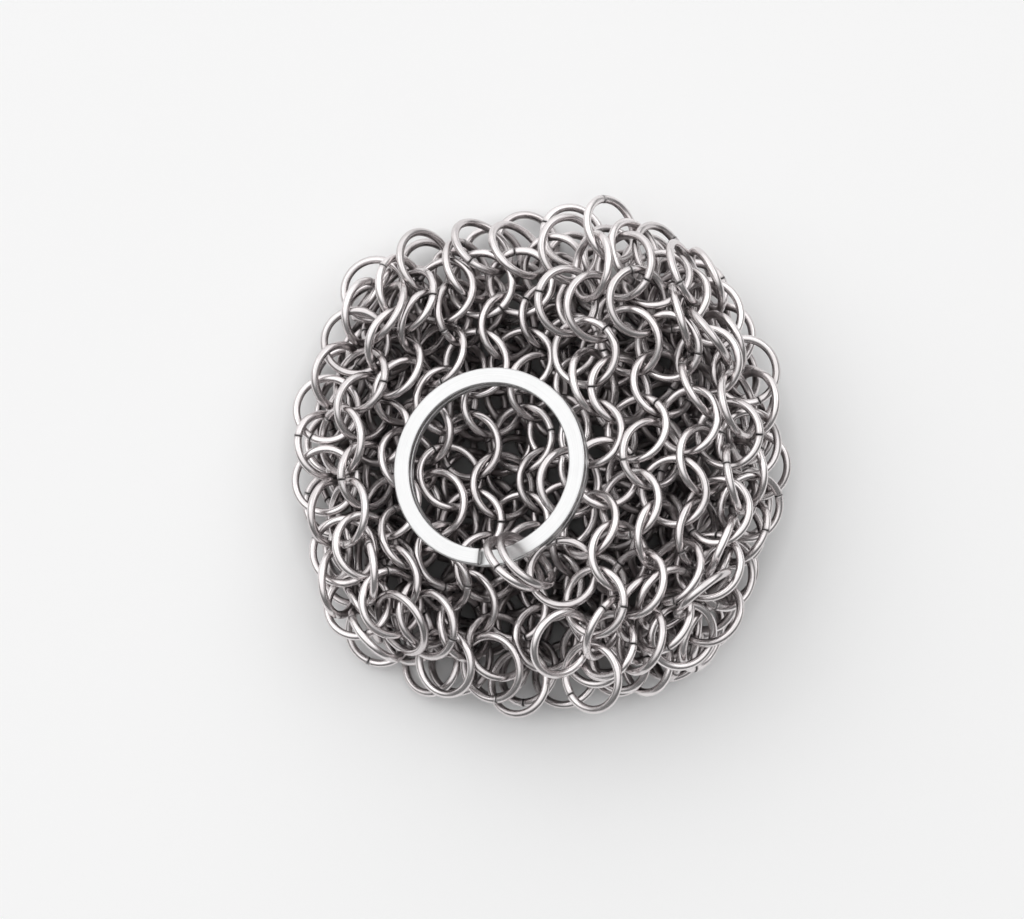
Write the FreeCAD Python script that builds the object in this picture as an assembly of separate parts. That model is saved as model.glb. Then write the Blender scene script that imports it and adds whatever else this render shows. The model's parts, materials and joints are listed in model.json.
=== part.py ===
import FreeCAD, Part
import math
import os
from FreeCAD import Placement, Rotation, Vector

# Sizes of the pieces, in millimetres
RING_OUTSIDE = 11.0       # mail ring, over its wire
RING_WIRE = 1.25          # round wire of the mail rings
SEAM_SLIT = 0.10          # slit between the butted ends of a ring
WIRE_AIR = 0.25           # air kept between wires that bear on each other
SPLIT_OUTSIDE = 30.0      # split ring, over its coils
STRIP_WIDTH = 2.5         # flat wire of the split ring, across the band
STRIP_HEIGHT = 1.25       # flat wire of the split ring, one coil high
STRIP_ROUNDING = 0.3      # rounded edges of the flat wire
COIL_AIR = 0.08           # air between the two coils of the split ring

# Counts of the woven sheet
RINGS_PER_ROW = 6
LAYER_ROWS = 17           # rows of the bottom layer, and of the middle layer
FOLD_ROWS = 6             # rows round each fold
TOP_ROWS = 8              # rows of the top layer, up to its free edge
COURSE_ROWS = 2           # rows kept together as one course of the mail

# Steps of the weave, as shares of a ring's outside
RING_PITCH_SHARE = 1.21   # from ring to ring along a row
ROW_PITCH_SHARE = 0.328   # from row to row
OPEN_LEAN = math.radians(27)
LEAN_RISE = math.radians(64)
LEAN_START_SHARE = 0.9    # rings lean more where the rows close up below this share of their step

# The loosely folded sheet before it settles
LOW_LAYER_SHARE = 0.4     # height of the bottom layer, of a ring
ROUND_SHARE = 0.15        # how far the corners are drawn in
TUCK_SHARE = 0.08         # how far the ends of the bottom layer are tucked in
DROP_SHARE = 0.10         # how far the ends of the upper layers drop, of a ring
LUMP_SHARE = 0.045        # height of the crumples, of a ring
NUDGE_SHARE = 0.2         # step of a row over which the sheet's slope is taken
PATH_STEPS_PER_ROW = 4
# Waves of the crumples: height share, then radians over half the sheet across, over half the sheet
# along, from layer to layer, and at the middle of the bottom layer
LUMP_WAVE_SHARES = ((0.5, 4.6, 4.4, 0.6, 1.3), (0.5, 4.6, -4.4, -0.6, 0.5), (0.8, -2.6, 6.4, 2.3, 0))
SWAY_WAVE_SHARES = ((1, 0, 2.4, 0.8, 0),)

# Settling: the rim that the heap is gathered into, and hollows pressed into its top
RIM_SHARE = 0.88          # radius of the rim, of half the folded sheet
RIM_PRESS = 1.5
HOLLOW_SHARES = ((-0.16, -0.02), (0.02, -0.85), (-0.50, 0.85))
HOLLOW_WIDTH_SHARE = 1.05
HOLLOW_FLOOR_SHARE = 0.7
HOLLOW_PRESS = 0.8
DRAW_PULL = 0.45          # how far drawn rings move outwards while the heap falls
DRAW_RIM_SHARE = 1.06     # how far out they are drawn, of the rim
CRUMPLE_SHARE = 2.3       # length of the sideways crumples, of a ring
CRUMPLE_PRESS = 0.45
FULL_FALL_SHARE = 1.5     # height, of a ring, below which the fall slows down
FALL_SHARE = 0.076        # fall in one step, of the wire
LANDING_SHARE = 0.4       # fall in one step of the landing, of the full fall
MOST_PUSH_SHARE = 0.2     # most that one push parts two wires, of the wire
REACH_SHARE = 0.8         # how far ahead bearing wires are looked for, of the wire
EASE_STEPS = 16
FALL_STEPS = 110
LANDING_STEPS = 35
CLEAR_STEPS = 40
LOOK_AGAIN_STEPS = 5      # steps between two searches for bearing wires
LOOK_POINTS = 14          # points looked at round a mail ring in such a search
PUSH_ROUNDS = 3

# The split ring over the heap and the two links that tie it to the free edge
SPLIT_FACE = Vector(-0.12, -0.31, 0.95)
TIE_WAY = Vector(0.42, -0.90, 0)
TIE_PLACE = 1             # ring of the last row that the links hang in
TIE_WIRE_WAY = Vector(-0.95, 0.30, 0)
TIE_RISE_WAY = Vector(0.05, 0.65, 1.80)
TIE_RISE_SHARE = 0.46     # step from the tied ring's wire up to the band, of a ring
LINK_FACE = Vector(0.60, 0.80, 0)
LINK_TURNS = (math.radians(-6), math.radians(6))
LINK_PULL = Vector(-0.6, -0.9, 0)  # the side that the links fall over to
SPLIT_WEIGHT = 4.0
SPLIT_SINK = 2.3

# Forms of the finished pieces
RAMP_TURN = math.radians(40)     # turn in which the flat wire climbs from one coil to the other
RAMP_START_SHARE = 0.6           # share of the ramp that lies before the links
RAMP_SECTIONS = 9
SEAM_STEP = math.radians(137.5)  # turn from one ring's seam to the next ring's

# Rings of the sheet's border, as (place in the row, row): those drawn outwards while the heap falls,
# and those left free to swing in the two rings that they link
DRAWN_RINGS = ((0, 2), (0, 8), (0, 14), (0, 26), (0, 30), (0, 36), (0, 48), (0, 52),
               (5, 3), (5, 9), (5, 15), (5, 25), (5, 29), (5, 33), (5, 37), (5, 43), (5, 47), (5, 51),
               (3, 53), (4, 53), (1, 0), (3, 0))
EDGE_RINGS = ((5, 31), (0, 28), (5, 35), (5, 51), (3, 0), (4, 53), (0, 53), (3, 53),
              (5, 3), (0, 2), (0, 22))

UP = Vector(0, 0, 1)
ASIDE = Vector(0.31, 0.87, 0.38)  # a way that no axis points along
RING_RADIUS = (RING_OUTSIDE - RING_WIRE) / 2
SPLIT_RADIUS = (SPLIT_OUTSIDE - STRIP_WIDTH) / 2
RING_PITCH = RING_PITCH_SHARE * RING_OUTSIDE
ROW_PITCH = ROW_PITCH_SHARE * RING_OUTSIDE
ROWS = 2 * LAYER_ROWS + 2 * FOLD_ROWS + TOP_ROWS
HALF_LAYER = LAYER_ROWS * ROW_PITCH / 2
FOLD_RADIUS = FOLD_ROWS * ROW_PITCH / math.pi
HALF_ACROSS = HALF_LAYER + FOLD_RADIUS
HALF_ALONG = RINGS_PER_ROW * RING_PITCH / 2
LOW_LAYER = LOW_LAYER_SHARE * RING_OUTSIDE
RIM = RIM_SHARE * HALF_ACROSS
FALL = FALL_SHARE * RING_WIRE
REACH = REACH_SHARE * RING_WIRE


class Loop:
    """A loop of wire: its centre, its axis, and the radius of its centreline and of its wire."""

    def __init__(self, centre, axis, radius=RING_RADIUS, wire=RING_WIRE / 2, weight=1.0, sink=1.0):
        self.centre = centre
        self.axis = axis
        self.radius = radius
        self.wire = wire
        self.give = 1 / weight
        self.sink = sink
        self.drawn = False
        self.pull = Vector(0, 0, 0)

    def nearest(self, point):
        """The point of the centreline nearest to a point."""
        arm = point - self.centre
        arm = arm - self.axis * arm.dot(self.axis)
        return self.centre + arm * (self.radius / (arm.Length or 1))

    def frame(self):
        """Two directions square to the axis and to each other."""
        side = self.axis.cross(ASIDE).normalize()
        return side, self.axis.cross(side)

    def at(self, turn):
        """The point of the centreline at a turn about the axis."""
        side, over = self.frame()
        return self.centre + (side * math.cos(turn) + over * math.sin(turn)) * self.radius

    def around(self, count):
        """Points spaced evenly round the centreline."""
        return [self.at(2 * math.pi * step / count) for step in range(count)]

    def ease(self, point, way):
        """How far a unit push along a direction moves the wire at a point."""
        arm = (point - self.centre).cross(way)
        return self.give * (1 + 2 * arm.dot(arm) / self.radius ** 2)

    def push(self, point, way):
        """Shift and tilt the loop as a push at a point moves a free ring."""
        turn = (point - self.centre).cross(way) * (2 * self.give / self.radius ** 2)
        self.centre = self.centre + way * self.give
        self.axis = (self.axis + turn.cross(self.axis)).normalize()

    def half_size(self, way):
        """Half the width of the loop along a direction."""
        return self.radius * math.sqrt(max(0, 1 - self.axis.dot(way) ** 2)) + self.wire

    def holds(self, other):
        """True if the other loop passes through this one."""
        side, over = other.frame()
        rise = Vector(side.dot(self.axis), over.dot(self.axis), 0) * other.radius
        level = (self.centre - other.centre).dot(self.axis)
        if rise.Length <= abs(level):
            return False
        middle = math.atan2(rise.y, rise.x)
        spread = math.acos(level / rise.Length)
        crossings = [other.at(middle + spread), other.at(middle - spread)]
        return sum((point - self.centre).Length < self.radius for point in crossings) == 1


def sheet_path():
    """The folded sheet's middle line, seen along its rows: three layers and two folds."""
    low = LOW_LAYER
    middle = low + 2 * FOLD_RADIUS
    top = middle + 2 * FOLD_RADIUS
    edge = HALF_LAYER - TOP_ROWS * ROW_PITCH
    left_fold = Vector(-HALF_ACROSS, 0, low + FOLD_RADIUS)
    right_fold = Vector(HALF_ACROSS, 0, middle + FOLD_RADIUS)
    bottom_right = Vector(HALF_LAYER, 0, low)
    bottom_left = Vector(-HALF_LAYER, 0, low)
    middle_left = Vector(-HALF_LAYER, 0, middle)
    middle_right = Vector(HALF_LAYER, 0, middle)
    top_right = Vector(HALF_LAYER, 0, top)
    runs = [Part.LineSegment(bottom_right, bottom_left), Part.Arc(bottom_left, left_fold, middle_left),
            Part.LineSegment(middle_left, middle_right), Part.Arc(middle_right, right_fold, top_right),
            Part.LineSegment(top_right, Vector(edge, 0, top))]
    return Part.Wire([run.toShape() for run in runs])


PATH_POINTS = sheet_path().discretize(PATH_STEPS_PER_ROW * ROWS + 1)


def waves(forms, across_share, along_share, layer):
    """The height of a sum of waves at a place of the sheet."""
    height = 0
    for share, across_turn, along_turn, layer_turn, start in forms:
        turn = across_turn * across_share + along_turn * along_share + layer_turn * layer + start
        height += share * math.sin(turn)
    return height


def sheet_point(row, along):
    """Where a place of the sheet, in rows and in distance along a row, lies before settling."""
    place = min(max(row / ROWS, 0), 1) * (len(PATH_POINTS) - 1)
    step = min(int(place), len(PATH_POINTS) - 2)
    path = PATH_POINTS[step] + (PATH_POINTS[step + 1] - PATH_POINTS[step]) * (place - step)
    across_share = path.x / HALF_ACROSS
    along_share = along / HALF_ALONG
    layer = (path.z - LOW_LAYER) / (2 * FOLD_RADIUS)
    tuck = 1 - TUCK_SHARE * max(0, 1 - layer)
    across = path.x * math.sqrt(1 - ROUND_SHARE * along_share ** 2)
    along = along * math.sqrt(1 - ROUND_SHARE * across_share ** 2) * tuck
    lump = waves(LUMP_WAVE_SHARES, across_share, along_share, layer)
    sway = waves(SWAY_WAVE_SHARES, across_share, along_share, layer)
    lift = LUMP_SHARE * lump * layer - DROP_SHARE * along_share ** 2 * min(1, layer)
    return Vector(across + LUMP_SHARE * sway * RING_OUTSIDE, along, path.z + lift * RING_OUTSIDE)


def weave():
    """The rings of the sheet by (place in the row, row), and the pairs that pass through each other.

    Rows lean by turns to one side and to the other, half a step apart, so that each ring
    passes through two rings of the row before and two of the row after.
    """
    rings = {}
    for row in range(ROWS):
        lean_way = 1 if row % 2 else -1
        for place in range(RINGS_PER_ROW):
            along = (place - (RINGS_PER_ROW - 1) / 2 + lean_way / 4) * RING_PITCH
            nudge = NUDGE_SHARE * ROW_PITCH
            middle = row + 1 / 2
            row_way = sheet_point(middle, along + nudge) - sheet_point(middle, along - nudge)
            row_step = sheet_point(middle + NUDGE_SHARE, along) - sheet_point(middle - NUDGE_SHARE, along)
            face = row_way.normalize().cross(row_step / (2 * NUDGE_SHARE))
            closing = max(0, LEAN_START_SHARE - face.Length / ROW_PITCH)
            lean = lean_way * (OPEN_LEAN + LEAN_RISE * closing)
            face.normalize()
            axis = face * math.cos(lean) + row_way.cross(face) * math.sin(lean)
            rings[place, row] = Loop(sheet_point(middle, along), axis)
    links = []
    for place, row in rings:
        for other in ((place, place + 1) if row % 2 else (place - 1, place)):
            if (other, row + 1) in rings:
                links.append((rings[place, row], rings[other, row + 1]))
    return rings, links


def hang_split_ring(tied):
    """The split ring over the heap, the two links that hang it in a tied ring, and their pairs."""
    coils = 2 * STRIP_HEIGHT + COIL_AIR
    corner = Vector(STRIP_WIDTH / 2 - STRIP_ROUNDING, coils / 2 - STRIP_ROUNDING, 0).Length
    face = Vector(SPLIT_FACE).normalize()
    tie_way = (TIE_WAY - face * TIE_WAY.dot(face)).normalize()
    wire = tied.nearest(tied.centre + TIE_WIRE_WAY * RING_RADIUS)
    band = wire + Vector(TIE_RISE_WAY).normalize() * (TIE_RISE_SHARE * RING_OUTSIDE)
    split = Loop(band - tie_way * SPLIT_RADIUS, face, SPLIT_RADIUS, corner + STRIP_ROUNDING,
                 SPLIT_WEIGHT, SPLIT_SINK)
    hook_way = tied.axis.cross(wire - tied.centre).normalize()
    hook_way = hook_way * math.copysign(SPLIT_RADIUS, hook_way.dot(LINK_FACE))
    hangers = []
    for turn in LINK_TURNS:
        band = split.centre + Rotation(face, math.degrees(turn)).multVec(tie_way) * SPLIT_RADIUS
        hook = tied.nearest(wire + hook_way * turn)
        reach = (band - hook).normalize()
        axis = (LINK_FACE - reach * LINK_FACE.dot(reach)).normalize()
        hanger = Loop((band + hook) / 2, axis)
        hanger.pull = LINK_PULL
        hangers.append(hanger)
    ties = [(split, hanger) for hanger in hangers] + [(hanger, tied) for hanger in hangers]
    return split, hangers, ties


def near_pairs(loops, reach):
    """Pairs of loops whose wires may come within reach, found through a grid of cells."""
    cell = RING_OUTSIDE + reach
    cells = {}
    for number, loop in enumerate(loops):
        key = tuple(int(place // cell) for place in loop.centre)
        cells.setdefault(key, []).append(number)
    span = range(-1, 2)
    steps = [(x, y, z) for x in span for y in span for z in span]
    pairs = []
    for key, own in cells.items():
        for step in steps:
            for other in cells.get(tuple(k + s for k, s in zip(key, step)), ()):
                pairs += [(number, other) for number in own if number < other]
    large = [number for number, loop in enumerate(loops) if loop.radius > RING_RADIUS]
    pairs = [pair for pair in pairs if not set(pair) & set(large)]
    pairs += [(number, other) for number in large for other in range(len(loops)) if other != number]
    pairs = [(loops[first], loops[second]) for first, second in pairs]
    return [(a, b) for a, b in pairs
            if (a.centre - b.centre).Length < a.radius + a.wire + b.radius + b.wire + reach]


def bearings(loops, reach):
    """Places where two wires come within reach: both loops, and a point on the first."""
    found = []
    points = {}
    for first, second in near_pairs(loops, reach):
        lift = abs((first.centre - second.centre).dot(second.axis))
        tilt = math.sqrt(max(0, 1 - first.axis.dot(second.axis) ** 2))
        limit = first.wire + second.wire + reach
        if lift - first.radius * tilt > limit:
            continue
        if first not in points:
            points[first] = first.around(round(LOOK_POINTS * first.radius / RING_RADIUS))
        spots = points[first]
        spans = [(spot - second.nearest(spot)).Length for spot in spots]
        for step, span in enumerate(spans):
            after = spans[(step + 1) % len(spans)]
            if span < limit + REACH and span <= spans[step - 1] and span < after:
                found.append([first, second, spots[step]])
    return found


def part_wires(spots):
    """Push apart the wires that are too close, and return the least air that was found."""
    least = WIRE_AIR
    for spot in spots:
        first, second, near = spot
        far = second.nearest(near)
        near = first.nearest(far)
        far = second.nearest(near)
        spot[2] = near
        way = near - far
        span = way.Length
        air = span - first.wire - second.wire
        if air < WIRE_AIR:
            least = min(least, air)
            way = way / span
            push = min(WIRE_AIR - air, MOST_PUSH_SHARE * RING_WIRE)
            push = push / (first.ease(near, way) + second.ease(far, way))
            first.push(near, way * push)
            second.push(far, way * -push)
    return least


def lift_off_table(loops):
    """Push up the loops that have sunk below the table."""
    for loop in loops:
        sunk = loop.half_size(UP) - loop.centre.z
        if sunk > 0:
            low = loop.nearest(loop.centre - UP * loop.radius)
            loop.push(low, UP * (sunk / loop.ease(low, UP)))


def drift(loop):
    """Which way a loop is drawn: down, over to its side, in from the rim, and out of the hollows."""
    out = Vector(loop.centre.x, loop.centre.y, 0)
    way = loop.pull - UP * (loop.sink * min(1, loop.centre.z / (FULL_FALL_SHARE * RING_OUTSIDE)))
    if loop.drawn and out.Length < DRAW_RIM_SHARE * RIM:
        way = way + out * (DRAW_PULL / out.Length)
    elif out.Length > RIM:
        way = way - out * (RIM_PRESS / out.Length)
    if loop.radius == RING_RADIUS:
        wave = loop.centre * (2 * math.pi / (CRUMPLE_SHARE * RING_OUTSIDE))
        way = way + Vector(math.sin(wave.y + wave.z), math.sin(wave.z - wave.x), 0) * CRUMPLE_PRESS
    if loop.radius == RING_RADIUS and loop.centre.z > HOLLOW_FLOOR_SHARE * RING_OUTSIDE:
        for across_share, along_share in HOLLOW_SHARES:
            off = out - Vector(across_share * HALF_ACROSS, along_share * HALF_ALONG, 0)
            nearness = 1 - off.Length / (HOLLOW_WIDTH_SHARE * RING_OUTSIDE)
            if nearness > 0:
                way = way + off * (nearness * HOLLOW_PRESS / off.Length)
    return way


def settle(loops, steps, fall):
    """Let the heap sink and draw together a little at a time, with every wire kept clear."""
    least = WIRE_AIR
    for step in range(steps):
        if step % LOOK_AGAIN_STEPS == 0:
            spots = bearings(loops, REACH)
        if fall:
            for loop in loops:
                loop.centre = loop.centre + drift(loop) * fall
        for turn in range(PUSH_ROUNDS):
            least = part_wires(spots)
            lift_off_table(loops)
    return least


def stand_in_frame(loops):
    """Shift the heap so that its box stands on the origin, centred."""
    across = Vector(1, 0, 0)
    along = Vector(0, 1, 0)
    shift = Vector(0, 0, 0)
    for way in (across, along):
        low = min(loop.centre.dot(way) - loop.half_size(way) for loop in loops)
        high = max(loop.centre.dot(way) + loop.half_size(way) for loop in loops)
        shift = shift - way * ((low + high) / 2)
    shift = shift - UP * min(loop.centre.z - loop.half_size(UP) for loop in loops)
    for loop in loops:
        loop.centre = loop.centre + shift


def loop_placement(loop, turn):
    """Where a piece made about the origin goes to lie along a loop, turned about the loop's axis."""
    side, over = loop.frame()
    return Placement(loop.centre, Rotation(side, over, loop.axis, "ZXY") * Rotation(UP, math.degrees(turn)))


def ring_solid(loop, number):
    """One mail ring: round wire bent to a circle, its cut ends butted at a slit."""
    closed = 360 - math.degrees(SEAM_SLIT / RING_RADIUS)
    ring = Part.makeTorus(RING_RADIUS, RING_WIRE / 2, Vector(0, 0, 0), UP, 0, 360, closed)
    ring.Placement = loop_placement(loop, number * SEAM_STEP)
    return ring


def strip_section(level, turn):
    """The flat wire's rounded section, at a height and a turn about the split ring's axis."""
    inner = SPLIT_RADIUS - STRIP_WIDTH / 2
    outer = SPLIT_RADIUS + STRIP_WIDTH / 2
    low = level - STRIP_HEIGHT / 2
    high = level + STRIP_HEIGHT / 2
    bevel = STRIP_ROUNDING * (1 - math.cos(math.pi / 4))
    round_in = STRIP_ROUNDING
    corners = ((inner, low, 1, 1), (outer, low, -1, 1), (outer, high, -1, -1), (inner, high, 1, -1))
    edges = []
    last = Vector(inner, 0, high - round_in)
    for number, (across, up, to_middle, to_core) in enumerate(corners):
        side_point = Vector(across, 0, up + to_core * round_in)
        flat_point = Vector(across + to_middle * round_in, 0, up)
        mid_point = Vector(across + to_middle * bevel, 0, up + to_core * bevel)
        start, end = (side_point, flat_point) if number % 2 == 0 else (flat_point, side_point)
        edges.append(Part.LineSegment(last, start).toShape())
        edges.append(Part.Arc(start, mid_point, end).toShape())
        last = end
    section = Part.Wire(edges)
    section.Placement = Placement(Vector(0, 0, 0), Rotation(UP, math.degrees(turn)))
    return section


def split_ring_solid(loop, links):
    """Two coils of flat wire with square ends, and the ramp that climbs between them by the links."""
    step = (STRIP_HEIGHT + COIL_AIR) / 2
    start = -RAMP_START_SHARE * RAMP_TURN
    coil_turn = math.degrees(2 * math.pi - RAMP_TURN)
    lower = Part.Face(strip_section(-step, start + RAMP_TURN)).revolve(Vector(0, 0, 0), UP, coil_turn)
    upper = Part.Face(strip_section(step, start + RAMP_TURN)).revolve(Vector(0, 0, 0), UP, coil_turn)
    sections = []
    for number in range(RAMP_SECTIONS):
        share = number / (RAMP_SECTIONS - 1)
        climb = 2 * share ** 2 * (3 - 2 * share) - 1
        sections.append(strip_section(step * climb, start + RAMP_TURN * share))
    ramp = Part.makeLoft(sections, True, False)
    ring = lower.fuse([ramp, upper])
    middle = (links[0].centre + links[1].centre) / 2 - loop.centre
    side, over = loop.frame()
    ring.Placement = loop_placement(loop, math.atan2(middle.dot(over), middle.dot(side)))
    return ring


def export(name, solids):
    """Write one node, and print how many solids and which volume it holds."""
    shape = solids[0] if len(solids) == 1 else Part.makeCompound(solids)
    shape.exportStep(f"parts/{name}.step")
    print(name, "solids", len(solids), "volume", round(shape.Volume, 1), "valid", shape.isValid())


rings, links = weave()
split, hangers, ties = hang_split_ring(rings[TIE_PLACE, ROWS - 1])
loops = list(rings.values()) + hangers + [split]
for key in DRAWN_RINGS:
    rings[key].drawn = True
settle(loops, EASE_STEPS, 0)
settle(loops, FALL_STEPS, FALL)
settle(loops, LANDING_STEPS, LANDING_SHARE * FALL)
least_air = settle(loops, CLEAR_STEPS, 0)
stand_in_frame(loops)
lost_links = sum(not first.holds(second) for first, second in links + ties)
print("rings", len(rings), "links", len(links), "lost links", lost_links, "least air", round(least_air, 3))

os.makedirs("parts", exist_ok=True)
solids = {key: ring_solid(loop, number) for number, (key, loop) in enumerate(rings.items())}
for course in range((ROWS + COURSE_ROWS - 1) // COURSE_ROWS):
    members = [key for key in rings if key[1] // COURSE_ROWS == course and key not in EDGE_RINGS]
    export(f"mail_course_{course + 1:02d}", [solids[key] for key in members])
for number, key in enumerate(EDGE_RINGS):
    export(f"edge_ring_{number + 1:02d}", [solids[key]])
for number, hanger in enumerate(hangers):
    export(f"hanger_link_{number + 1}", [ring_solid(hanger, number)])
export("split_ring", [split_ring_solid(split, hangers)])
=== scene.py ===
# %% [markdown]
# # A pot scrubber of linked wire rings
# The real scrubber is a sheet of stainless mail. Small rings of drawn wire pass through four neighbours
# each, the sheet is bunched into a heap, and a flat split ring hangs in its edge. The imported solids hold
# every ring at its place. They could be shown as they are, but a torus has no cut ends, no tool marks and
# no wire finish. So this lesson reads each ring from the solids and makes it again as bent wire.

# %% Load the solids
import json
import math
from collections import namedtuple

import bpy
import numpy as np
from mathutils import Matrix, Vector
from mathutils.bvhtree import BVHTree


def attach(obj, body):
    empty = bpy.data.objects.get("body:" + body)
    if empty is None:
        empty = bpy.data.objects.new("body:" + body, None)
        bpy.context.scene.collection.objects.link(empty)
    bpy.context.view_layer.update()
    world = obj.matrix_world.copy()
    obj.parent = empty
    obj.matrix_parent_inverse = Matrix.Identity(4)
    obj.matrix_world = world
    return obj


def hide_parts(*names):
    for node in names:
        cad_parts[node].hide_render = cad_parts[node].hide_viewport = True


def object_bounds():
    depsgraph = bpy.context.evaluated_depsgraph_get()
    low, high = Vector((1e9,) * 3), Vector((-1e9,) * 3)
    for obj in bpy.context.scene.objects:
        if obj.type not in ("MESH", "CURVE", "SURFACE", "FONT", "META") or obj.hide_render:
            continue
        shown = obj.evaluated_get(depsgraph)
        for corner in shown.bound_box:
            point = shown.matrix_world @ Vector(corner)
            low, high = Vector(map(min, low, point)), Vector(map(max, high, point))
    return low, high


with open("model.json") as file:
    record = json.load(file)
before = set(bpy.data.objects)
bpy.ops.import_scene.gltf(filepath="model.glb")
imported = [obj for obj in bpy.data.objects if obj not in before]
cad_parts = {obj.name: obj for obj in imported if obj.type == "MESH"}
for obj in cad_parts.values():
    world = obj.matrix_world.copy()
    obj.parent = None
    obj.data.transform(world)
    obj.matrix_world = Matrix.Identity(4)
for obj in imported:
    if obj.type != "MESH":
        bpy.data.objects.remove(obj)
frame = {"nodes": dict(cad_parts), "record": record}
cad_low, cad_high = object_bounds()
MM = 0.001
print("box in mm:", [round(side / MM, 1) for side in cad_high - cad_low])

# %% [markdown]
# ## Shader sums in plain Python
# A finish is a small sum: some streaks, plus a little tone, less the dark line at a seam. Blender adds one
# node for each step, and wiring them by hand hides the sum. A class that wraps an output socket and answers
# to plus, minus and times lets the sum be read as it is. All other nodes come from one method.

# %% A socket that can be added and multiplied
class Signal:
    """An output socket of a node tree. Sums of signals add Math nodes."""

    def __init__(self, tree, socket):
        self.tree = tree
        self.socket = socket

    def maths(self, operation, first, second):
        return self.tree.node("ShaderNodeMath", {"operation": operation},
                              {"Value": first, "Value_001": second})

    def __add__(self, other):
        return self.maths("ADD", self, other)

    __radd__ = __add__

    def __sub__(self, other):
        return self.maths("SUBTRACT", self, other)

    def __rsub__(self, other):
        return self.maths("SUBTRACT", other, self)

    def __mul__(self, other):
        return self.maths("MULTIPLY", self, other)

    __rmul__ = __mul__


print("a signal answers to plus, minus and times, from either side")

# %% A node tree that grows one node at a time
Grain = namedtuple("Grain", "per_mm detail roughness")    # how fine a noise is, on each axis of the wire


class Tree:
    """The nodes of a material or a world, emptied first."""

    def __init__(self, owner):
        owner.use_nodes = True
        self.nodes = owner.node_tree.nodes
        self.links = owner.node_tree.links
        self.nodes.clear()

    def node(self, kind, settings=None, sockets=None, output=None):
        """Add a node, set it up, feed its sockets, and return one output as a signal."""
        made = self.nodes.new(kind)
        for name, value in (settings or {}).items():
            setattr(made, name, value)
        inputs = {socket.identifier: socket for socket in made.inputs}
        for name, value in (sockets or {}).items():
            if isinstance(value, Signal):
                self.links.new(value.socket, inputs[name])
            else:
                inputs[name].default_value = value
        outputs = {socket.identifier: socket for socket in made.outputs}
        if not outputs:
            return None
        return Signal(self, outputs[output] if output else made.outputs[0])

    def mix(self, share, first, second):
        """Blend two colours."""
        return self.node("ShaderNodeMix", {"data_type": "RGBA"},
                         {"Factor_Float": share, "A_Color": first, "B_Color": second}, "Result_Color")

    def vector(self, operation, first, second, output="Vector"):
        """Work on two vectors."""
        return self.node("ShaderNodeVectorMath", {"operation": operation},
                         {"Vector": first, "Vector_001": second}, output)

    def spread(self, signal, low, high):
        """Stretch the range from low to high over the range from 0 to 1, and stop there."""
        return self.node("ShaderNodeMapRange", {"clamp": True},
                         {"Value": signal, "From Min": low, "From Max": high})

    def attribute(self, name, output="Fac"):
        """Read a value that the mesh carries at its points."""
        return self.node("ShaderNodeAttribute", {"attribute_name": name}, None, output)

    def noise(self, place, grain):
        """Soft random patches between 0 and 1, as fine as the grain says."""
        return self.node("ShaderNodeTexNoise", None,
                         {"Vector": self.vector("MULTIPLY", place, grain.per_mm), "Scale": 1.0,
                          "Detail": grain.detail, "Roughness": grain.roughness})


def grey(level, warmth=0.0):
    """A near-neutral colour, with a touch more red for warmth."""
    return (level * (1 + warmth), level, level, 1.0)


print("a middle grey is", grey(0.5))

# %% [markdown]
# ## Bare metal
# Both finishes of the scrubber are bare steel, and differ in colour, gloss and marks. A Glossy shader could
# show them, but the Principled shader is what other programs read too. The marks of drawing and rolling are
# far too shallow to model, so a bump gives them.

# %% The surface that both finishes end in
MARK_DEPTH = 0.02 * MM


def bare_metal(tree, colour, rough, marks, mark_strength):
    """End a tree in a steel surface with shallow marks."""
    bump = tree.node("ShaderNodeBump", None,
                     {"Strength": mark_strength, "Distance": MARK_DEPTH, "Height": marks})
    shader = tree.node("ShaderNodeBsdfPrincipled", None,
                       {"Base Color": colour, "Roughness": rough, "Metallic": 1.0, "Normal": bump})
    tree.node("ShaderNodeOutputMaterial", None, {"Surface": shader})


print("marks in mm:", MARK_DEPTH / MM)

# %% [markdown]
# ## Finish of the drawn wire
# The wire is pulled through a die, so its marks run along it. Then the cut rings are tumbled, which leaves
# them satin with bright and dull patches, and each ring a little lighter or darker than the next. The
# pattern could follow the world's axes, but then it would cut across a bent wire. So each mesh carries the
# place on its own wire, in millimetres: two numbers round the section and one along the length. The streaks
# are noise that is stretched along the length. The cut ends carry a darker line. Wire that lies open is
# painted lighter, and wire deep in the heap or turned away from the open side is painted darker, as painted
# shade. Open wire is also glossier, as rubbed.

# %% Drawn wire
STREAKS = Grain(per_mm=(5.0, 5.0, 0.30), detail=4.0, roughness=0.6)
PATCHES = Grain(per_mm=(0.9, 0.9, 0.45), detail=3.0, roughness=0.5)
PATTERN_JUMP = (0.0, 0.0, 400.0)    # millimetres by which the pattern moves on from ring to ring
STREAK_LIGHT = 0.45                 # weights of what makes the steel lighter
PATCH_LIGHT = 0.35
TONE_LIGHT = 0.30
WIRE_LIGHT_RANGE = (0.30, 0.80)     # sums of light at the darkest and at the lightest steel
LIT_RUBBED_RANGE = (0.04, 0.45)         # how open the wire lies where it gets full painted shade and where it is fully lit and rubbed
# painted shade: open steel is painted lighter and enclosed steel much darker, with no film on the wire
LIT_STEEL = (grey(0.61, 0.06), grey(0.89, 0.05))       # darkest and lightest
PAINTED_SHADE_STEEL = (grey(0.12, 0.11), grey(0.40, 0.10))
SEAM_GRIME = grey(0.035)
SEAM_COVER = 0.80
WIRE_ROUGH = 0.19                   # roughness of clean wire, and what changes it
RUBBED_GLOSS = 0.06
PATCH_ROUGH = 0.14
STREAK_ROUGH = 0.08
SEAM_ROUGH = 0.25
WIRE_MARKS = 0.12


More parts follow.
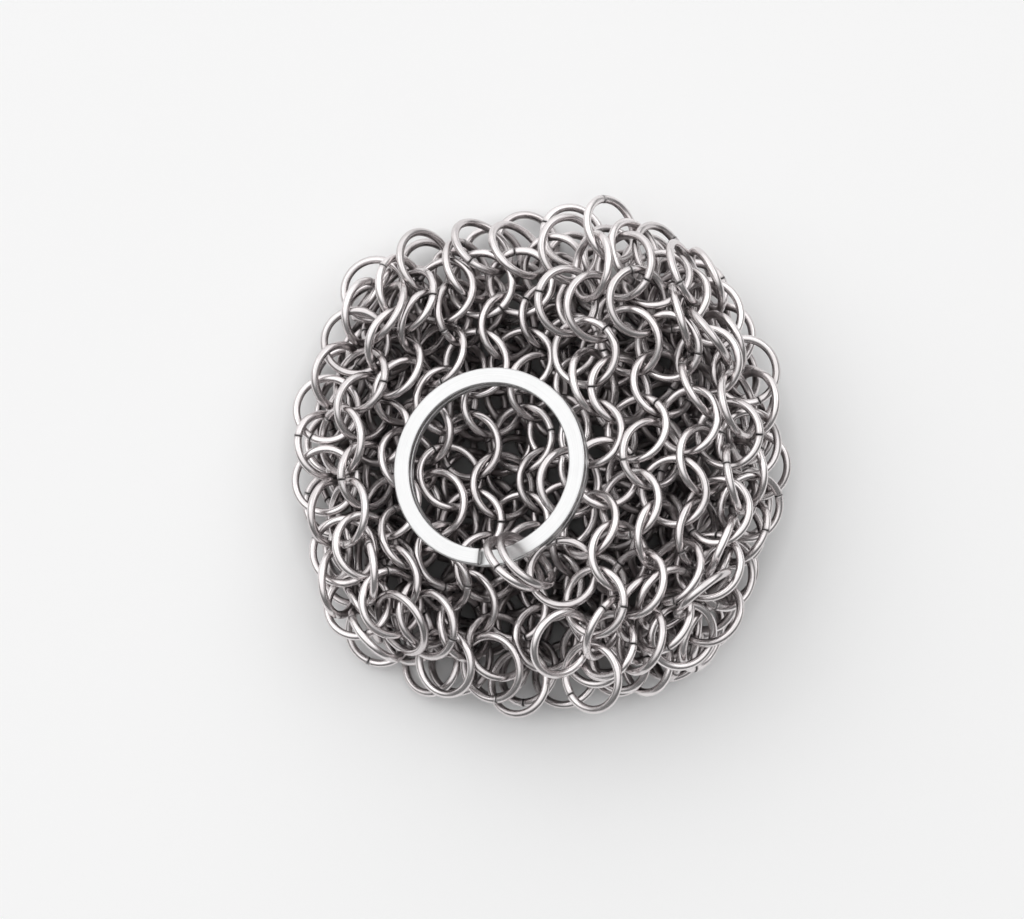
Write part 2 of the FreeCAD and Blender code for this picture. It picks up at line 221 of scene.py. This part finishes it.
def drawn_wire():
    """Satin stainless wire with streaks along it, dull patches and dark cut ends."""
    material = bpy.data.materials.new("drawn_wire")
    tree = Tree(material)
    tone = tree.attribute("tone")
    seam = tree.attribute("seam")
    jump = tree.vector("MULTIPLY", tree.attribute("tone", "Vector"), PATTERN_JUMP)
    place = tree.vector("ADD", tree.attribute("place", "Vector"), jump)
    streaks = tree.noise(place, STREAKS)
    patches = tree.noise(place, PATCHES)
    light = STREAK_LIGHT * streaks + PATCH_LIGHT * patches + TONE_LIGHT * tone
    light = tree.spread(light, *WIRE_LIGHT_RANGE)
    # painted shade: the steel is darker where the rays found the wire enclosed or turned away, lighter where
    # open
    lit_and_rubbed = tree.spread(tree.attribute("open"), *LIT_RUBBED_RANGE)
    steel = tree.mix(lit_and_rubbed, tree.mix(light, *PAINTED_SHADE_STEEL), tree.mix(light, *LIT_STEEL))
    colour = tree.mix(SEAM_COVER * seam, steel, SEAM_GRIME)
    rough = WIRE_ROUGH - RUBBED_GLOSS * lit_and_rubbed
    rough = rough + PATCH_ROUGH * patches + STREAK_ROUGH * streaks + SEAM_ROUGH * seam
    bare_metal(tree, colour, rough, streaks, WIRE_MARKS)
    return material


wire_finish = drawn_wire()
print("finish:", wire_finish.name, len(wire_finish.node_tree.nodes), "nodes")

# %% [markdown]
# ## Finish of the flat strip
# The split ring is wound from rolled flat spring wire and polished, so it is the brightest piece. Fine lines
# run round the band, with a few short scratches from keys and hooks, and its edges are rubbed bright.
# Anisotropic gloss could stand for the lines, but real lines in the roughness and a shallow bump hold up in
# a close view too.

# %% Polished strip
LINES = Grain(per_mm=(14.0, 14.0, 0.06), detail=3.0, roughness=0.55)
CLOUDS = Grain(per_mm=(0.84, 0.84, 0.385), detail=3.0, roughness=0.5)
SCRATCHES = Grain(per_mm=(5.28, 5.28, 2.42), detail=5.0, roughness=0.7)
SCRATCH_RANGE = (0.64, 0.72)        # only the top of this noise is a scratch
CLOUD_LIGHT = 0.6                   # weight of the clouds beside the lines
STRIP_LIGHT_RANGE = (0.5, 1.1)
STRIP_STEEL = (grey(0.54), grey(0.66))                    # darkest and lightest
WORN_EDGE = grey(0.80)
EDGE_WEAR = 0.6
STRIP_CUT = grey(0.20)
CUT_COVER = 0.5
STRIP_ROUGH = 0.20                  # roughness of the polish, and what changes it
LINE_ROUGH = 0.14
CLOUD_ROUGH = 0.10
SCRATCH_ROUGH = 0.14
EDGE_GLOSS = 0.06
SCRATCH_DEPTH = 0.8                 # depth of a scratch beside that of a line
STRIP_MARKS = 0.10


def polished_strip():
    """Bright flat spring wire with fine lines round the band, scratches and rubbed edges."""
    material = bpy.data.materials.new("polished_strip")
    tree = Tree(material)
    place = tree.attribute("place", "Vector")
    edge = tree.attribute("edge")
    seam = tree.attribute("seam")
    lines = tree.noise(place, LINES)
    clouds = tree.noise(place, CLOUDS)
    scratches = tree.spread(tree.noise(place, SCRATCHES), *SCRATCH_RANGE)
    light = tree.spread(lines + CLOUD_LIGHT * clouds, *STRIP_LIGHT_RANGE)
    worn = tree.mix(EDGE_WEAR * edge, tree.mix(light, *STRIP_STEEL), WORN_EDGE)
    colour = tree.mix(CUT_COVER * seam, worn, STRIP_CUT)
    rough = STRIP_ROUGH + LINE_ROUGH * lines + CLOUD_ROUGH * clouds
    rough = rough + SCRATCH_ROUGH * scratches - EDGE_GLOSS * edge
    bare_metal(tree, colour, rough, lines - SCRATCH_DEPTH * scratches, STRIP_MARKS)
    return material


strip_finish = polished_strip()
print("finish:", strip_finish.name, len(strip_finish.node_tree.nodes), "nodes")

# %% [markdown]
# ## Where the rings lie
# A node holds up to twelve rings as loose islands of one mesh. Blender's separate operator could part them,
# but the mesh arrays answer at once: points that share an edge take the lower of their two labels, again
# and again, until each island has one label of its own.

# %% Part a node into its rings
WELD_DIGITS = 7    # doubled points agree to this many digits of a metre


def islands(mesh):
    """The points of each loose island of a mesh, with doubled points counted once."""
    points = np.empty(len(mesh.vertices) * 3, dtype=np.float32)
    mesh.vertices.foreach_get("co", points)
    points = points.reshape(-1, 3).astype(float).round(WELD_DIGITS)
    points, same = np.unique(points, axis=0, return_inverse=True)
    ends = np.empty(len(mesh.edges) * 2, dtype=np.int32)
    mesh.edges.foreach_get("vertices", ends)
    first, second = same.ravel()[ends].reshape(-1, 2).T
    label = np.arange(len(points))
    settled = False
    while not settled:
        lower = label.copy()
        np.minimum.at(lower, first, label[second])
        np.minimum.at(lower, second, label[first])
        lower = lower[lower]
        settled = np.array_equal(lower, label)
        label = lower
    return [points[label == root] for root in np.unique(label)]


ring_points = {}
for name in sorted(frame["nodes"]):
    if name != "split_ring":
        ring_points[name] = islands(frame["nodes"][name].data)
print("rings in each node, at most:", max(len(group) for group in ring_points.values()))

# %% [markdown]
# ## What a ring measures
# An island is a torus with a slit. Its flattest direction is its axis, and a circle fitted across that axis
# gives the centre. The points stand in sections round the wire, and the two sections that face each other
# over the slit are closer than any others, so the least step between two sections finds the seam.

# %% Measure a ring
Ring = namedtuple("Ring", "centre axis seam over radius wire slit")
SAME_SECTION = 0.005   # radians within which points belong to one section of the wire


def measure(points):
    """The centre, axis, way to the seam, sizes and slit of one ring."""
    middle = points.mean(axis=0)
    ways = np.linalg.svd(points - middle, full_matrices=False)[2]    # from the broadest to the flattest
    side = ways[0]
    axis = ways[2] * math.copysign(1, ways[2, 2])
    over = np.cross(axis, side)
    flat = np.column_stack([(points - middle) @ side, (points - middle) @ over])
    circle = np.column_stack([2 * flat, np.ones(len(flat))])
    shift = np.linalg.lstsq(circle, (flat ** 2).sum(axis=1), rcond=None)[0][:2]
    arms = flat - shift
    wire = np.ptp((points - middle) @ axis) / 2
    turns = np.sort(np.arctan2(arms[:, 1], arms[:, 0]))
    steps = np.append(turns[1:], turns[0] + math.tau) - turns
    steps[steps < SAME_SECTION] = np.inf
    least = steps.argmin()
    turn = turns[least] + steps[least] / 2
    seam = side * math.cos(turn) + over * math.sin(turn)
    centre = middle + side * shift[0] + over * shift[1]
    radius = np.hypot(arms[:, 0], arms[:, 1]).max() - wire
    return Ring(centre, axis, seam, np.cross(axis, seam), radius, wire, steps[least] * radius)


rings = {node: [measure(points) for points in group] for node, group in ring_points.items()}
all_rings = [ring for group in rings.values() for ring in group]
sample = rings["hanger_link_1"][0]
print("rings:", len(all_rings), "wire in mm:", round(2 * sample.wire / MM, 3),
      "outside in mm:", round(2 * (sample.radius + sample.wire) / MM, 3),
      "slit in mm:", round(sample.slit / MM, 3))

# %% [markdown]
# ## How open a wire lies
# Rings deep in the heap, and the sides of wires turned away from the open side, get painted shade: their
# steel is painted darker, and open wire lighter. Open wire is also glossier, as rubbed on pans. Blender's
# Ambient Occlusion node could tell them apart, but it needs many rays for each pixel.
# Here the answer is stored once. Rays go out on all sides from points round each ring, and the share that
# leaves the heap says how open the wire lies there. Their mean direction says to which side it is open.

# %% Coarse tubes to cast the rays at
TUBE_TURNS = 24
TUBE_SIDES = 6


def even_turns(count):
    """Turns spaced evenly round a circle."""
    return np.arange(count) * (math.tau / count)


def circle_ways(ring, turns):
    """Unit ways from a ring's centre, at turns from its seam."""
    return np.cos(turns)[:, None] * ring.seam + np.sin(turns)[:, None] * ring.over


def quads(near, far, around):
    """Faces between two rows of points, from the numbers of the rows' first points."""
    pairs = [(spot, (spot + 1) % around) for spot in range(around)]
    return [(near + spot, near + after, far + after, far + spot) for spot, after in pairs]


def coarse_tubes(group):
    """A search tree over plain tubes round the rings."""
    points, faces = [], []
    spin = even_turns(TUBE_SIDES)
    for ring in group:
        first = len(points)
        for way in circle_ways(ring, even_turns(TUBE_TURNS)):
            out = (ring.radius + ring.wire * np.cos(spin))[:, None] * way
            up = (ring.wire * np.sin(spin))[:, None] * ring.axis
            points += list(map(Vector, ring.centre + out + up))
        for turn in range(TUBE_TURNS):
            after = (turn + 1) % TUBE_TURNS
            faces += quads(first + turn * TUBE_SIDES, first + after * TUBE_SIDES, TUBE_SIDES)
    return BVHTree.FromPolygons(points, faces)


heap = coarse_tubes(all_rings)
print("coarse tubes:", len(all_rings), "with", TUBE_TURNS * TUBE_SIDES, "faces each")

# %% Cast the rays
OPEN_SPOTS = 20               # spots round a ring
OPEN_RAYS = 32                # rays from each spot
RAY_REACH = 45 * MM           # a ray that meets nothing within this reach is free
RAY_START_SHARE = 1.25        # rays start just outside their own wire
GOLDEN_TURN = math.pi * (3 - math.sqrt(5))      # spaces the rays evenly over a ball
ray_steps = np.arange(OPEN_RAYS) + 0.5
ray_rise = 1 - 2 * ray_steps / OPEN_RAYS
ray_turn = ray_steps * GOLDEN_TURN
ray_flat = np.sqrt(1 - ray_rise ** 2)
ray_ways = np.column_stack([ray_flat * np.cos(ray_turn), ray_flat * np.sin(ray_turn), ray_rise])


def cast(ring):
    """The share of free rays at spots round a ring, and their mean direction."""
    shares, leans = [], []
    for spot in ring.centre + ring.radius * circle_ways(ring, even_turns(OPEN_SPOTS)):
        starts = spot + RAY_START_SHARE * ring.wire * ray_ways
        free = np.array([heap.ray_cast(Vector(start), Vector(way), RAY_REACH)[0] is None
                         for start, way in zip(starts, ray_ways)])
        shares.append(free.mean())
        leans.append((free[:, None] * ray_ways).mean(axis=0))
    return np.column_stack([shares, leans])


views = {node: [cast(ring) for ring in group] for node, group in rings.items()}
open_shares = np.concatenate([view[:, 0] for group in views.values() for view in group])
print("open share, least, mean and most:", open_shares.min(), open_shares.mean().round(2), open_shares.max())

# %% [markdown]
# ## A ring bent from wire
# A real ring is a piece of coil, cut by shears and closed with pliers. So its ends don't quite meet: one
# stands a little to the side of the other, the shears squeeze them a little flat, and there is a small burr
# edge. The ring is also a hair oval and not quite flat. A curve with a round bevel could make the wire, but
# it can't squeeze its ends, so the rows of points are worked out here. Each shift is smaller than the air
# between the wires.

# %% Sections along a wire
AROUND = 14        # points round a section
LONG_STEPS = 58    # steps along a wire between the sections at its ends
END_STATIONS = np.array([0.0, 0.05, 0.25, 0.6, 1.1]) * MM   # distances of the sections next to a cut end
END_TAPER = np.array([0.86, 1.0, 1.0, 1.0, 1.0])            # draws the first section in to a burr edge


def stations(length):
    """Distances along a wire at which its sections stand, and how thick each is."""
    body = np.linspace(END_STATIONS[-1], length - END_STATIONS[-1], LONG_STEPS + 1)[1:-1]
    along = np.concatenate([END_STATIONS, body, length - END_STATIONS[::-1]])
    taper = np.concatenate([END_TAPER, np.ones(len(body)), END_TAPER[::-1]])
    return along, taper


print("sections on a wire:", len(stations(math.tau * sample.radius)[0]), "of", AROUND, "points each")

# %% How open each point of a wire is
SHADE_LEAN = 2    # painted shade: lightens the side that faces the open way and darkens the side that is turned away


def open_shade_values(ring, view, turns):
    """How open the wire lies at each point of its sections, from the rays at a few spots, lower on the side
    turned away; it sets painted shade.
    """
    spots = even_turns(OPEN_SPOTS)
    share, *lean = [np.interp(turns, spots, numbers, period=math.tau) for numbers in view.T]
    lean = np.column_stack(lean)
    spin = even_turns(AROUND)
    outward = (lean * circle_ways(ring, turns)).sum(axis=1)[:, None] * np.cos(spin)
    upward = (lean @ ring.axis)[:, None] * np.sin(spin)
    return share[:, None] + SHADE_LEAN * (outward + upward)


sample_open = open_shade_values(sample, views["hanger_link_1"][0], even_turns(OPEN_SPOTS))
print("open values on one link:", sample_open.min().round(2), "to", sample_open.max().round(2))

# %% Rows of points along a ring
END_REACH = 1.3 * MM          # how far the bend at a cut end reaches
SIDE_STEP = 0.15 * MM         # most that one end stands to the side of the other
OUT_STEP = 0.07 * MM          # most that one end stands further out than the other
PINCH = 0.07                  # share by which the shears flatten an end
PINCH_SPREAD_SHARE = 0.5      # part of that by which the end spreads outwards
OVAL = 0.035 * MM             # most that a ring is out of round
TWIST = 0.045 * MM            # most that a ring is out of flat
LEAST_BEND_SHARE = 0.2        # every ring has at least this much of the oval and of the twist
LOBES = 2                     # an oval and a twist come round twice in a turn
SEAM_DARK = 0.16 * MM         # length of the dark line at a cut end
random = np.random.default_rng(41)


def bend(ring, view):
    """Rows of points along a ring's wire, and the values that its finish reads."""
    length = math.tau * ring.radius - ring.slit
    along, taper = stations(length)
    start = np.exp(-along / END_REACH)
    finish = np.exp((along - length) / END_REACH)
    side_step, out_step = random.uniform(-0.5, 0.5, 2) * (SIDE_STEP, OUT_STEP)   # each end moves by half
    oval, twist = random.uniform(LEAST_BEND_SHARE, 1.0, 2) * (OVAL, TWIST)
    oval_turn, twist_turn = random.uniform(0, math.tau, 2)
    turns = (along + ring.slit / 2) / ring.radius
    out = ring.radius + oval * np.cos(LOBES * turns - oval_turn) + out_step * (start - finish)
    rise = twist * np.cos(LOBES * turns - twist_turn) + side_step * (start - finish)
    squeeze = PINCH * (start + finish)
    spin = even_turns(AROUND)
    half_out = (ring.wire * taper * (1 + PINCH_SPREAD_SHARE * squeeze))[:, None] * np.cos(spin)
    half_rise = (ring.wire * taper * (1 - squeeze))[:, None] * np.sin(spin)
    rows = ring.centre + (out[:, None] + half_out)[:, :, None] * circle_ways(ring, turns)[:, None, :]
    rows = rows + (rise[:, None] + half_rise)[:, :, None] * ring.axis
    place = np.empty(rows.shape)
    place[:, :, 0] = ring.wire / MM * np.cos(spin)
    place[:, :, 1] = ring.wire / MM * np.sin(spin)
    place[:, :, 2] = along[:, None] / MM
    seam = np.exp(-np.minimum(along, length - along) / SEAM_DARK)
    # the open value sets painted shade in the wire's colour, and gloss in its roughness
    values = {"place": place.reshape(-1, 3), "seam": np.repeat(seam, AROUND),
              "open": open_shade_values(ring, view, turns).ravel()}
    return rows, values


print("ends stand apart by up to", SIDE_STEP / MM, "mm to the side and", OUT_STEP / MM, "mm outwards")

# %% [markdown]
# ## From rows of points to a mesh
# Both kinds of wire, round and flat, are a grid of points that closes round the section and is capped at its
# two ends. Each grid also gets a place on the piece's texture map. One long strip would waste the map, so
# its length is cut into bands that lie under each other, and the map's squares stay about square on the
# wire. The end caps have a column of their own at the map's left edge.

# %% Faces of a wire, and their places on the map
BAKE_MAP = "OFBake"
MAP_LEFT = 0.06                     # the bands start here, right of the end caps
MAP_WIDTH = 0.92
BAND_GAP_SHARE = 0.06               # part of each band that stays empty
CAP_MIDDLE = 0.024                  # middle of the caps' column
CAP_HALF_WIDTH = 0.016
CAP_LEVEL_SHARES = (0.3, 0.7)       # levels of the two end caps beside their wire's first band
CAP_HALF_HEIGHT_SHARE = 0.15


def wire_faces(first, count, around):
    """Faces along one wire, and a cap at each of its ends."""
    faces = []
    for row in range(count - 1):
        faces += quads(first + row * around, first + (row + 1) * around, around)
    start_cap = range(first, first + around)
    end_cap = range(first + (count - 1) * around, first + count * around)
    return faces + [list(start_cap)[::-1], list(end_cap)]


def wire_map(number, wire_count, bands, count, around):
    """Corners on the map of one wire's faces, in the order of the faces."""
    corners = []
    total = wire_count * bands
    for row in range(count - 1):
        band = row * bands // (count - 1)
        start, end = [math.ceil(edge * (count - 1) / bands) for edge in (band, band + 1)]
        left, right = [MAP_LEFT + MAP_WIDTH * (edge - start) / (end - start) for edge in (row, row + 1)]
        base = number * bands + band + BAND_GAP_SHARE / 2
        levels = [(base + (1 - BAND_GAP_SHARE) * edge / around) / total for edge in range(around + 1)]
        for low, high in zip(levels, levels[1:]):
            corners += [(left, low), (left, high), (right, high), (right, low)]
    for level, way in zip(CAP_LEVEL_SHARES, (-1, 1)):
        for turn in way * even_turns(around):
            height = number * bands + level + CAP_HALF_HEIGHT_SHARE * math.sin(turn)
            corners.append((CAP_MIDDLE + CAP_HALF_WIDTH * math.cos(turn), height / total))
    return corners


print("a wire of 3 sections has", len(wire_faces(0, 3, AROUND)), "faces and",
      len(wire_map(0, 1, 1, 3, AROUND)), "corners")


# %% Skin a set of wires
def skin(name, wires, values, bands, finish):
    """Make one piece from grids of points, with values at its points and a texture map."""
    count, around = wires[0].shape[:2]
    faces, corners = [], []
    for number in range(len(wires)):
        faces += wire_faces(number * count * around, count, around)
        corners += wire_map(number, len(wires), bands, count, around)
    mesh = bpy.data.meshes.new(name)
    mesh.from_pydata(np.concatenate(wires).reshape(-1, 3), [], faces)
    mesh.uv_layers.new(name=BAKE_MAP).data.foreach_set("uv", np.array(corners, dtype=np.float32).ravel())
    for label, numbers in values.items():
        kind, field = ("FLOAT_VECTOR", "vector") if numbers.ndim > 1 else ("FLOAT", "value")
        store = mesh.attributes.new(label, kind, "POINT")
        store.data.foreach_set(field, numbers.astype(np.float32).ravel())
    mesh.shade_smooth()
    mesh.materials.append(finish)
    piece = bpy.data.objects.new(name, mesh)
    bpy.context.scene.collection.objects.link(piece)
    print("made", name, "from", len(wires), "wires,", len(mesh.polygons), "faces")
    return piece


# %% [markdown]
# ## The mail
# The rings were woven one by one, and no two are quite alike. Copies of one mesh would be lighter, but they
# would repeat the same seam and streaks all over the heap. So every ring is bent by itself, with its own
# tone, and the rings of one node make one piece. The two links that hold the split ring are handled at every
# use, so they count as rubbed all round and get no painted shade.

# %% Make the mail, a node at a time
SINGLE_BANDS = 3                                # a ring alone on its map is cut into three bands
HANGER_LINKS = ("hanger_link_1", "hanger_link_2")
body_of = {node: body for body, nodes in frame["record"]["behaviour"]["bodies"].items() for node in nodes}


def mail_piece(node):
    """All the rings of one node as bent wire, in place of the node."""
    wires, parts = [], []
    for ring, view in zip(rings[node], views[node]):
        rows, values = bend(ring, view)
        values["tone"] = np.full(len(values["seam"]), random.uniform())
        # the hanger links get no painted shade: they are painted fully lit and count as rubbed all round
        if node in HANGER_LINKS:
            values["open"][:] = 1.0
        wires.append(rows)
        parts.append(values)
    values = {label: np.concatenate([part[label] for part in parts]) for label in parts[0]}
    bands = SINGLE_BANDS if len(wires) == 1 else 1
    piece = skin(node + "_wire", wires, values, bands, wire_finish)
    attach(piece, body_of[node])
    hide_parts(node)
    return piece


mail_pieces = [mail_piece(node) for node in rings]
print("mail:", len(mail_pieces), "pieces,", sum(len(piece.data.polygons) for piece in mail_pieces), "faces")

# %% [markdown]
# ## The split ring
# A split ring is one strip of flat wire wound twice round, with square ends. The lower coil runs once round,
# climbs a short ramp beside the links, and goes round again on top. A torus can't show that. A section swept
# along the whole path can, so the section is drawn once and carried along 680 degrees of turn.

# %% Where the split ring lies
COIL_AIR = 0.08 * MM
hole = frame["record"]["mounts"][0]
split_centre = np.array(hole["pos_m"])
split_axis = np.array(hole["axis"]) / np.linalg.norm(hole["axis"])
split_points = islands(frame["nodes"]["split_ring"].data)[0] - split_centre
inner = hole["dims"]["r_mm"] * MM
outer = np.linalg.norm(np.cross(split_points, split_axis), axis=1).max()
middle_radius = (inner + outer) / 2
strip_width = outer - inner
strip_height = (hole["dims"]["length_mm"] * MM - COIL_AIR) / 2
links_middle = sum(rings[node][0].centre for node in HANGER_LINKS) / len(HANGER_LINKS) - split_centre
to_links = links_middle - split_axis * links_middle.dot(split_axis)
to_links = to_links / np.linalg.norm(to_links)
over_links = np.cross(split_axis, to_links)
print("strip in mm:", round(strip_width / MM, 2), "by", round(strip_height / MM, 2))

# %% The strip's section
SECTION_CORNERS = 4
CORNER = 0.3 * MM             # rounding of the strip's edges
CORNER_STEPS = 4
CORNER_START_WEAR = 0.3       # how worn the strip is where a corner starts
FLAT_SUPPORT = 0.12 * MM      # a point beside each corner keeps the flats flat under smooth shading


def strip_section(inset):
    """Points round the flat wire, across and up, and how far each is worn as an edge."""
    half = np.array([strip_width, strip_height]) / 2 - inset
    spots, wear = [], []
    for turn in even_turns(SECTION_CORNERS):
        signs = np.array([math.copysign(1, math.cos(turn + math.pi / 4)),
                          math.copysign(1, math.sin(turn + math.pi / 4))])
        pivot = (half - CORNER) * signs
        entry = np.array([math.cos(turn), math.sin(turn)])
        leave = np.array([-math.sin(turn), math.cos(turn)])
        spots.append(pivot + CORNER * entry - FLAT_SUPPORT * leave)
        wear.append(0.0)
        for step in range(CORNER_STEPS + 1):
            part = step / CORNER_STEPS * math.pi / 2
            spots.append(pivot + CORNER * (entry * math.cos(part) + leave * math.sin(part)))
            wear.append(math.sin(2 * part) if 0 < step < CORNER_STEPS else CORNER_START_WEAR)
        spots.append(pivot + CORNER * leave - FLAT_SUPPORT * entry)
        wear.append(0.0)
    return np.array(spots), np.array(wear)


print("points round the strip:", len(strip_section(0.0)[0]))

# %% The strip's path
COILS = 2
RAMP_TURN = math.radians(40)
RAMP_START_SHARE = 0.6        # share of the ramp that lies before the links
TURN_STEP = math.radians(2.5)
CUT_BEVEL = 0.22 * MM         # rounding of the square ends
BEVEL_SECTIONS = 4
strip_turn = COILS * math.tau - RAMP_TURN
bevel_arc = np.linspace(0, math.pi / 2, BEVEL_SECTIONS)
bevel_turns = CUT_BEVEL * (1 - np.cos(bevel_arc)) / middle_radius
bevel_insets = CUT_BEVEL * (1 - np.sin(bevel_arc))
long_turns = np.linspace(bevel_turns[-1], strip_turn - bevel_turns[-1], round(strip_turn / TURN_STEP))[1:-1]
strip_turns = np.concatenate([bevel_turns, long_turns, strip_turn - bevel_turns[::-1]])
strip_insets = np.concatenate([bevel_insets, np.zeros(len(long_turns)), bevel_insets[::-1]])
ramp_share = np.clip((strip_turns - (math.tau - RAMP_TURN)) / RAMP_TURN, 0, 1)
ramp_ease = ramp_share ** 2 * (3 - 2 * ramp_share)        # starts and stops level
strip_levels = (strip_height + COIL_AIR) * (ramp_ease - 1 / 2)
print("strip:", len(strip_turns), "sections along", round(math.degrees(strip_turn)), "degrees")

# %% Sweep the strip
STRIP_BANDS = 5
first_turn = (1 - RAMP_START_SHARE) * RAMP_TURN
strip_rows, strip_places, strip_wear = [], [], []
for turn, inset, level in zip(strip_turns, strip_insets, strip_levels):
    spots, wear = strip_section(inset)
    way = to_links * math.cos(turn + first_turn) + over_links * math.sin(turn + first_turn)
    out = (middle_radius + spots[:, 0])[:, None] * way
    strip_rows.append(split_centre + out + (level + spots[:, 1])[:, None] * split_axis)
    strip_places.append(np.column_stack([spots / MM, np.full(len(spots), turn * middle_radius / MM)]))
    strip_wear.append(wear)
end_distance = np.minimum(strip_turns, strip_turn - strip_turns) * middle_radius
strip_values = {"place": np.concatenate(strip_places), "edge": np.concatenate(strip_wear),
                "seam": np.repeat(np.exp(-end_distance / SEAM_DARK), len(strip_wear[0]))}
split_piece = skin("split_ring_strip", [np.array(strip_rows)], strip_values, STRIP_BANDS, strip_finish)
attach(split_piece, "split_ring")
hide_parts("split_ring")
print("split ring: outside in mm:", round(2 * outer / MM, 2))

# %% [markdown]
# ## Table
# The scrubber lies on a white table, which is no part of it. Plain white would shine up through the gaps of
# the mail as pale spots. More layers of mail would hide them, but would also make the heap too high. So a
# painted shadow darkens the table under the middle of the heap, where only the gaps show it.

# %% White table
TABLE_HALF = 3.0                        # metres from the middle to an edge
TABLE_WHITE = grey(0.97)
# painted shadow under the middle of the heap
TABLE_SHADE = grey(0.22)
SHADE_RANGE = (25 * MM, 41 * MM)        # distances from the middle over which the shade turns white
TABLE_ROUGH = 0.8
table_mesh = bpy.data.meshes.new("table")
table_corners = [(-TABLE_HALF, -TABLE_HALF, 0), (TABLE_HALF, -TABLE_HALF, 0),
                 (TABLE_HALF, TABLE_HALF, 0), (-TABLE_HALF, TABLE_HALF, 0)]
table_mesh.from_pydata(table_corners, [], [(0, 1, 2, 3)])
table = bpy.data.objects.new("table", table_mesh)
bpy.context.scene.collection.objects.link(table)
table_paint = bpy.data.materials.new("table_paint")
paint = Tree(table_paint)
flat_place = paint.vector("MULTIPLY", paint.node("ShaderNodeNewGeometry"), (1.0, 1.0, 0.0))
from_middle = paint.vector("DISTANCE", flat_place, (0.0, 0.0, 0.0), "Value")
table_colour = paint.mix(paint.spread(from_middle, *SHADE_RANGE), TABLE_SHADE, TABLE_WHITE)
matt = paint.node("ShaderNodeBsdfPrincipled", None, {"Base Color": table_colour, "Roughness": TABLE_ROUGH})
paint.node("ShaderNodeOutputMaterial", None, {"Surface": matt})
table_mesh.materials.append(table_paint)
print("table:", 2 * TABLE_HALF, "m wide")

# %% [markdown]
# ## Light
# Metal shows what stands round it, so the light is most of the finish. Lamps alone would leave the wires
# black with small bright dots. A room does better: its pale ceiling, off to the far side, gives each wire a
# broad bright stripe, and its dim walls give the dark flanks. So the far side of the heap is the brighter
# one. Two weak soft boxes add a little shape to the shadows.

# %% Room
CEILING_WAY = Vector((-0.14, 0.48, 0.87)).normalized()     # way from the heap to the ceiling's middle
CEILING_RANGE = (0.30, 0.62)        # cosines to that way where the walls end and where the ceiling starts
WALL = grey(0.17)
CEILING = grey(1.22)
world = bpy.data.worlds.new("room")
bpy.context.scene.world = world
room = Tree(world)
direction = room.node("ShaderNodeTexCoord", None, None, "Generated")
nearness = room.vector("DOT_PRODUCT", direction, CEILING_WAY, "Value")
room_colour = room.mix(room.spread(nearness, *CEILING_RANGE), WALL, CEILING)
glow = room.node("ShaderNodeBackground", None, {"Color": room_colour, "Strength": 1.0})
room.node("ShaderNodeOutputWorld", None, {"Surface": glow})
print("room:", len(room.nodes), "nodes")

# %% Soft boxes
heap_middle = (cad_low + cad_high) / 2


def soft_box(name, place, size, watts):
    """A square area light that faces the middle of the heap."""
    light = bpy.data.lights.new(name, "AREA")
    light.shape = "SQUARE"
    light.size = size
    light.energy = watts
    lamp = bpy.data.objects.new(name, light)
    lamp.location = place
    lamp.rotation_euler = (heap_middle - Vector(place)).to_track_quat("-Z", "Y").to_euler()
    bpy.context.scene.collection.objects.link(lamp)
    print("soft box:", name, "of", watts, "W")


soft_box("overhead_box", place=(-0.34, 0.17, 0.50), size=0.36, watts=0.24)
soft_box("side_box", place=(0.38, 0.20, 0.45), size=0.22, watts=0.10)

# %% [markdown]
# ## Camera
# The picture looks almost straight down on the heap. A wide lens close by would make the rings on top look
# larger than those at the rim. A long lens keeps them about the same size. The distance and the lens
# together give the scale, in pixels of the picture for each millimetre.

# %% Camera
PICTURE_WIDTH = 1024
PICTURE_HEIGHT = 919
HEAP_PIXEL = (541, 452)       # middle of the heap in the picture
PIXELS_PER_MM = 6.6
ELEVATION = math.radians(82)
DISTANCE = 0.42               # metres from the camera to its aim
camera_data = bpy.data.cameras.new("camera")
camera_data.lens = PIXELS_PER_MM / MM * DISTANCE * camera_data.sensor_width / PICTURE_WIDTH
camera = bpy.data.objects.new("camera", camera_data)
bpy.context.scene.collection.objects.link(camera)
to_camera = Vector((0, -math.cos(ELEVATION), math.sin(ELEVATION)))
picture_right = Vector((1, 0, 0))
picture_up = to_camera.cross(picture_right)
aim = heap_middle - picture_right * ((HEAP_PIXEL[0] - PICTURE_WIDTH / 2) / PIXELS_PER_MM * MM)
aim = aim + picture_up * ((HEAP_PIXEL[1] - PICTURE_HEIGHT / 2) / PIXELS_PER_MM * MM)
camera.location = aim + to_camera * DISTANCE
camera.rotation_euler = to_camera.to_track_quat("Z", "Y").to_euler()
bpy.context.scene.camera = camera
bpy.context.scene.view_settings.view_transform = "Standard"
print("lens in mm:", round(camera_data.lens, 1))
